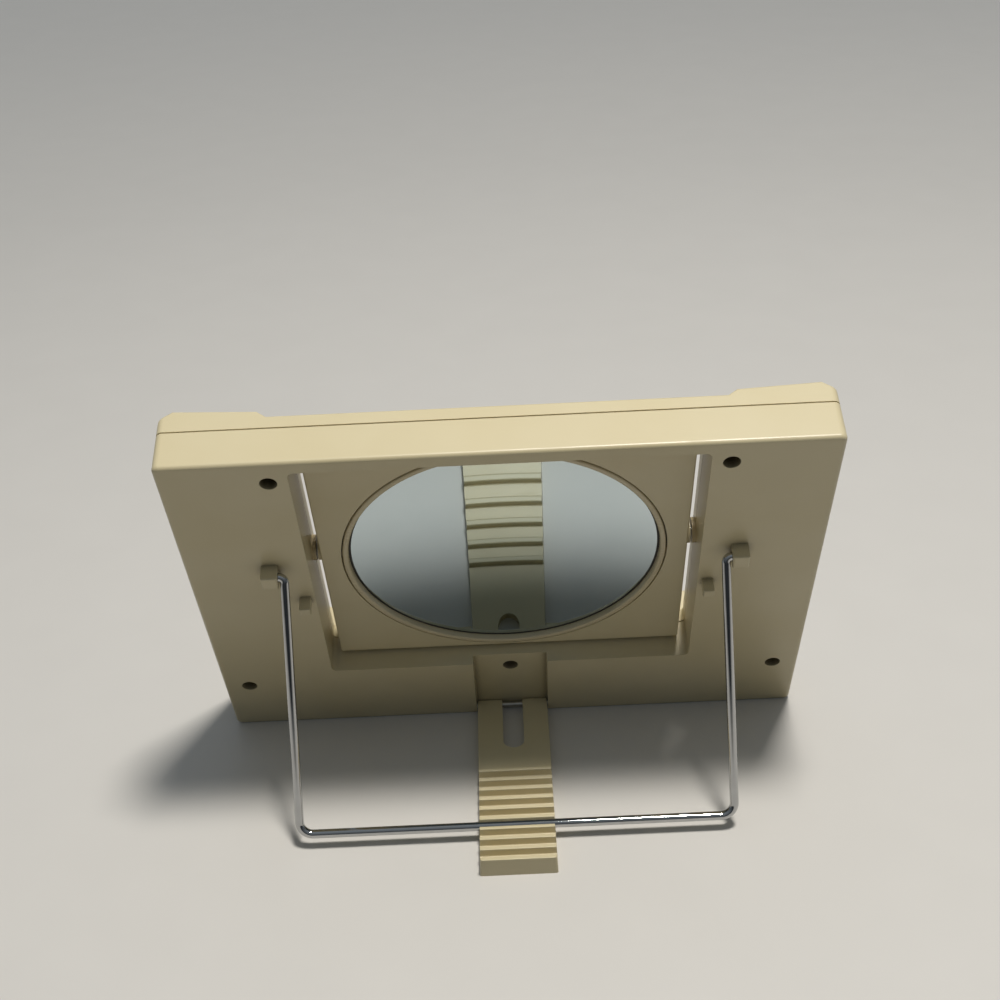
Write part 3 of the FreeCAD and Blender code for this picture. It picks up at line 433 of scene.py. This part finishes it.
finishes = {use: mouldedPlastic(finish, mouldSkin) for use, finish in plasticFinishes.items()}
finishes.update({use: workedMetal(finish) for use, finish in metalFinishes.items()})
finishes.update({"mirror_glass": silveredGlass(mirrorSilver), "painted_edge_shade": paintEdgeShade(paintedEdgeShade),
                 "diffuser_plastic": opalAcrylic(lightWindow), "lamp_glass": phosphorGlass(lampTube),
                 "ballast_metal": varnishedSheets(chokeStack)})
slotOf = {row["node"]: row["material_slot"] for row in frame["record"]["subparts"]}
ownFinish = {"rear_cover": "rear_shell"}  # its wells and corners are darkened by painted shade over years of dirt
for nodeName, node in frame["nodes"].items():
    node.data.materials.clear()
    node.data.materials.append(finishes[ownFinish.get(nodeName, slotOf[nodeName])])
print("finishes on", len(slotOf), "nodes")

# a glass and its retaining ring on each face of the flip panel
mirrorFace = {"panelThick": 18.1, "inset": 2.6, "glassThick": 2.0, "glassRadius": 72.35, "dishRadius": 69.45,
              "curve": 900.0, "dishSteps": 24, "edgeBand": 1.0, "ringInner": 69.55, "ringOuter": 72.15,
              "ringProud": 0.5, "ringRound": 0.8, "roundSteps": 5, "turnSteps": 160}


def spinGlass(spec, name, facing, dish, node):
    outward = outOfRear * facing
    face = mirrorMiddle + outward * (spec["panelThick"] / 2 - spec["inset"]) * mm
    rim, band = spec["dishRadius"] * mm, (spec["dishRadius"] - spec["edgeBand"]) * mm
    curve = spec["curve"] * mm
    drop = curve - math.sqrt(curve ** 2 - rim ** 2) if dish else 0
    bm = bmesh.new()
    tip = bmesh.ops.create_vert(bm, co=face - outward * drop)["vert"][0]
    steps = [face + upCase * band, face + upCase * rim]
    if dish:  # the section is part of a circle, turned out from the middle of the glass
        steps = []
        toBand, toRim = math.asin(band / curve), math.asin(rim / curve)
        for turn, count in ((toBand, spec["dishSteps"]), (toRim - toBand, 1)):
            swung = bmesh.ops.spin(bm, geom=[tip], cent=face - outward * (drop - curve), axis=upCase.cross(outward),
                                   angle=turn, steps=count)
            tip = ofKind(swung["geom_last"], bmesh.types.BMVert)[0]
    edge = face + upCase * spec["glassRadius"] * mm
    back = -outward * spec["glassThick"] * mm
    for target in steps + [edge, edge + back, face + upCase * rim + back, face - outward * drop + back]:
        tip = bmesh.ops.extrude_vert_indiv(bm, verts=[tip])["verts"][0]
        tip.co = target
    bmesh.ops.spin(bm, geom=bm.verts[:] + bm.edges[:], cent=face, axis=outward, angle=2 * math.pi,
                   steps=spec["turnSteps"], use_merge=True)
    for bit in bm.faces:  # the painted edge shade shows past the band
        reach = bit.calc_center_median() - face
        bit.material_index = int((reach - outward * reach.dot(outward)).length > band)
    finishPiece(bm, name, [finishes["mirror_glass"], finishes["painted_edge_shade"]], "mirror", "mirror_glass", node)


def spinRing(spec, name, facing, node):
    outward = outOfRear * facing
    face = mirrorMiddle + outward * spec["panelThick"] / 2 * mm
    halfWide = (spec["ringOuter"] - spec["ringInner"]) / 2 * mm
    halfTall = (spec["inset"] + spec["ringProud"]) / 2 * mm
    centre = face + upCase * (spec["ringInner"] * mm + halfWide) + outward * (spec["ringProud"] * mm - halfTall)
    section = Matrix((acrossCase, upCase * halfWide, outward * halfTall)).transposed().to_4x4()
    bm = bmesh.new()
    corners = bmesh.ops.create_grid(bm, x_segments=1, y_segments=1, size=1)["verts"]
    bmesh.ops.rotate(bm, verts=corners, matrix=Matrix(((0, 0, 1), (1, 0, 0), (0, 1, 0))))
    bmesh.ops.transform(bm, verts=corners, matrix=Matrix.Translation(centre) @ section)
    crown = [corner for corner in corners if (corner.co - centre).dot(outward) > 0]
    bmesh.ops.bevel(bm, geom=crown, offset=spec["ringRound"] * mm, segments=spec["roundSteps"], profile=0.5,
                    affect="VERTICES", material=-1)
    bmesh.ops.delete(bm, geom=bm.faces[:], context="FACES_ONLY")
    bmesh.ops.spin(bm, geom=bm.verts[:] + bm.edges[:], cent=face, axis=outward, angle=2 * math.pi,
                   steps=spec["turnSteps"], use_merge=True)
    finishPiece(bm, name, [finishes["ring_plastic"]], "mirror", "ring_plastic", node)


spinGlass(mirrorFace, "magnifyingGlass", 1, True, "magnifying_mirror")
spinGlass(mirrorFace, "plainGlass", -1, False, "plain_mirror")
spinRing(mirrorFace, "rearRing", 1, "rear_retaining_ring")
spinRing(mirrorFace, "frontRing", -1, "front_retaining_ring")
print("glasses and rings spun")

# one length of round wire: a stub in each lug, two splayed legs and the bar that lies across the foot
bailWire = {"radius": 2.0, "sides": 48, "bendSteps": 16, "tipX": 104.4, "legX": 96.5, "barX": 98.6, "barY": 47.778,
            "barZ": 7.65, "eyeBend": 2.5, "cornerBend": 6.0}


def drawOut(bm, loop, move, widen=1.0):
    grown = bmesh.ops.extrude_edge_only(bm, edges=loop)["geom"]
    ends = ofKind(grown, bmesh.types.BMVert)
    bmesh.ops.scale(bm, verts=ends, vec=(widen, widen, 1))
    bmesh.ops.translate(bm, verts=ends, vec=move)
    return ofKind(grown, bmesh.types.BMEdge)


def bendWire(spec):
    eye = Vector(joints["bail_swing"]["pos_m"])
    bar = Vector((0, spec["barY"], spec["barZ"])) * mm
    tip, leg, corner = (acrossCase * spec[name] * mm for name in ("tipX", "legX", "barX"))
    route = [eye - tip, eye - leg, bar - corner, bar + corner, eye + leg, eye + tip]
    bends = [spec[name] * mm for name in ("eyeBend", "cornerBend", "cornerBend", "eyeBend")]
    bm = bmesh.new()
    bmesh.ops.create_circle(bm, cap_ends=True, segments=spec["sides"], radius=spec["radius"] * mm,
                            matrix=Matrix.Translation(route[0]) @ Matrix.Rotation(math.pi / 2, 4, "Y"))
    loop, spot = bm.edges[:], route[0]
    for before, corner, after, bend in zip(route, route[1:], route[2:], bends):
        arrive, leave = (corner - before).normalized(), (after - corner).normalized()
        axis, turn = arrive.cross(leave).normalized(), arrive.angle(leave)
        reach = bend * math.tan(turn / 2)
        loop = drawOut(bm, loop, corner - arrive * reach - spot)
        swung = bmesh.ops.spin(bm, geom=loop, cent=corner - arrive * reach + axis.cross(arrive) * bend, axis=axis,
                               angle=turn, steps=spec["bendSteps"])
        loop = ofKind(swung["geom_last"], bmesh.types.BMEdge)
        spot = corner + leave * reach
    loop = drawOut(bm, loop, route[-1] - spot)
    bmesh.ops.contextual_create(bm, geom=loop)
    finishPiece(bm, "bentWire", [finishes["chromed_wire"]], "bail", "chromed_wire", "wire_bail")


bendWire(bailWire)
print("wire bent")

# self-tapping screws at the bottom of the wells, with a cross recess in each pan head
caseScrew = {"headRadius": 3.1, "headTall": 2.2, "headRound": 0.7, "headSides": 32, "roundDeg": (30, 60, 90),
             "crossLong": 3.8, "crossWide": 1.0, "crossDeep": 1.3, "shankRadius": 1.5, "shankLong": 12.2,
             "wellDeep": 12.0, "firstTurnDeg": 25, "nextTurnDeg": 31,
             "places": [(0, 36.45), (-127.8, 36.45), (127.8, 36.45), (-94.35, 193.3), (94.35, 193.3)]}


def shapeScrew(spec):
    bm = bmesh.new()
    reach, arm = spec["crossLong"] / 2 * mm, spec["crossWide"] / 2 * mm
    middle = reach / 2  # the inner lines of the grid lie well inside this, the outer ones at the reach
    for corner in bmesh.ops.create_grid(bm, x_segments=3, y_segments=3, size=reach)["verts"]:
        for axis in (0, 1):
            if abs(corner.co[axis]) < middle:
                corner.co[axis] = math.copysign(arm, corner.co[axis])
    spare = [face for face in bm.faces if min(abs(c) for c in face.calc_center_median()[:2]) > arm]
    bmesh.ops.delete(bm, geom=spare, context="FACES")
    cross, mouth = bm.faces[:], [edge for edge in bm.edges if edge.is_boundary]
    sunk = ofKind(bmesh.ops.extrude_face_region(bm, geom=cross)["geom"], bmesh.types.BMVert)
    bmesh.ops.translate(bm, verts=sunk, vec=(0, 0, -spec["crossDeep"] * mm))
    bmesh.ops.delete(bm, geom=cross, context="FACES_ONLY")
    flat, bend = (spec["headRadius"] - spec["headRound"]) * mm, spec["headRound"] * mm
    rim = bmesh.ops.create_circle(bm, segments=spec["headSides"], radius=flat)["verts"]
    loop = list({edge for corner in rim for edge in corner.link_edges})
    bmesh.ops.bridge_loops(bm, edges=mouth + loop)
    shank, under = spec["shankRadius"] * mm, -spec["headTall"] * mm
    profile = [(flat + bend * math.sin(math.radians(a)), -bend * (1 - math.cos(math.radians(a))))
               for a in spec["roundDeg"]]
    profile += [(spec["headRadius"] * mm, under), (shank, under), (shank, under - spec["shankLong"] * mm)]
    wide, deep = flat, 0
    for radius, depth in profile:
        loop = drawOut(bm, loop, (0, 0, depth - deep), radius / wide)
        wide, deep = radius, depth
    bmesh.ops.contextual_create(bm, geom=loop)
    mesh = bpy.data.meshes.new("screwBlank")
    bm.to_mesh(mesh)
    bm.free()
    return mesh


def setScrews(spec):
    blank = shapeScrew(spec)
    turn = Matrix((acrossCase, -upCase, outOfRear)).transposed().to_4x4()
    bm = bmesh.new()
    for count, (x, z) in enumerate(spec["places"]):
        before = set(bm.verts)
        bm.from_mesh(blank)
        fresh = [v for v in bm.verts if v not in before]
        stop = math.radians(spec["firstTurnDeg"] + spec["nextTurnDeg"] * count)  # each is driven to another angle
        bmesh.ops.rotate(bm, verts=fresh, matrix=Matrix.Rotation(stop, 3, "Z"))
        top = onCase(x, spec["headTall"] - spec["wellDeep"], z)
        bmesh.ops.transform(bm, verts=fresh, matrix=Matrix.Translation(top) @ turn)
    bpy.data.meshes.remove(blank)
    finishPiece(bm, "crossHeadScrews", [finishes["steel"]], "housing", "steel", "case_screws")


setScrews(caseScrew)

# nickelled pins over the plain ones in the inlet, with rounded tips
inletPins = {"radius": 1.22, "long": 8.03, "sides": 24, "round": 0.7, "roundSteps": 4, "rootX": -129.0,
             "depth": -11.0, "heights": (15.8, 22.2)}


def setInletPins(spec):
    bm = bmesh.new()
    radius = spec["radius"] * mm
    for height in spec["heights"]:
        middle = onCase(spec["rootX"] - spec["long"] / 2, spec["depth"], height)
        made = bmesh.ops.create_cone(bm, cap_ends=True, segments=spec["sides"], radius1=radius, radius2=radius,
                                     depth=spec["long"] * mm,
                                     matrix=Matrix.Translation(middle) @ Matrix.Rotation(math.pi / 2, 4, "Y"))
        tip = [v for v in made["verts"] if v.co.x < middle.x]
        rim = [edge for edge in bm.edges if all(v in tip for v in edge.verts)]
        roundEdges(bm, rim, spec["round"], spec["roundSteps"])
    finishPiece(bm, "inletPins", [finishes["inlet_pins"]], "housing", "steel")


setInletPins(inletPins)
print("screws and inlet pins set")

# push button: rounded cap with a finger dish and three grip bars, a flange inside the case and a stem to the switch
pushButton = {"x": 56.0, "height": 24.0, "frontY": -27.8, "cap": (15.6, 8.6, 4.7), "round": 0.8, "roundSteps": 4,
              "rim": 1.2, "dish": 0.6, "dishTaper": (0.94, 0.9), "lipRound": 0.2, "lipSteps": 2,
              "bar": (10.0, 0.8, 0.8), "barPitch": 1.9, "barRound": 0.25, "barSteps": 3,
              "flange": (19.0, 12.0, 1.2), "stem": (4.0, 4.0, 4.4)}


def stepOut(bm, face, move, widen=(1, 1)):
    grown = bmesh.ops.extrude_face_region(bm, geom=[face])["geom"]
    ends = ofKind(grown, bmesh.types.BMVert)
    bmesh.ops.scale(bm, verts=ends, vec=(widen[0], widen[1], 1))
    bmesh.ops.translate(bm, verts=ends, vec=(0, 0, move * mm))
    return ofKind(grown, bmesh.types.BMFace)[0]


def shapeButton(spec):
    bm = bmesh.new()
    wide, tall, deep = (size * mm for size in spec["cap"])
    bmesh.ops.create_cube(bm, size=1, matrix=Matrix.Translation((0, 0, -deep / 2))
                          @ Matrix.Diagonal((wide, tall, deep, 1)))
    front, back = (pick(bm.faces, key=lambda face: face.calc_center_median().z) for pick in (max, min))
    outline = front.edges[:]
    size = spec["cap"]
    for step in ("flange", "stem"):
        back = stepOut(bm, back, 0, (spec[step][0] / size[0], spec[step][1] / size[1]))
        back = stepOut(bm, back, -spec[step][2])
        size = spec[step]
    bmesh.ops.inset_region(bm, faces=[front], thickness=spec["rim"] * mm, use_even_offset=True)
    lip = front.edges[:]
    stepOut(bm, front, -spec["dish"], spec["dishTaper"])
    roundEdges(bm, outline, spec["round"], spec["roundSteps"])
    roundEdges(bm, lip, spec["lipRound"], spec["lipSteps"])
    for row in (-1, 0, 1):
        place = Matrix.Translation((0, row * spec["barPitch"] * mm, -spec["dish"] * mm))
        shape = Matrix.Diagonal([side * mm for side in spec["bar"]] + [1])
        made = bmesh.ops.create_cube(bm, size=1, matrix=place @ shape)
        edges = list({edge for corner in made["verts"] for edge in corner.link_edges})
        roundEdges(bm, edges, spec["barRound"], spec["barSteps"])
    turn = Matrix((acrossCase, upCase, -outOfRear)).transposed().to_4x4()
    seat = Matrix.Translation(onCase(spec["x"], spec["frontY"], spec["height"]))
    bmesh.ops.transform(bm, verts=bm.verts, matrix=seat @ turn)
    finishPiece(bm, "dishedButton", [finishes["button_plastic"]], "button", "button_plastic", "power_button")


shapeButton(pushButton)
print("button shaped")
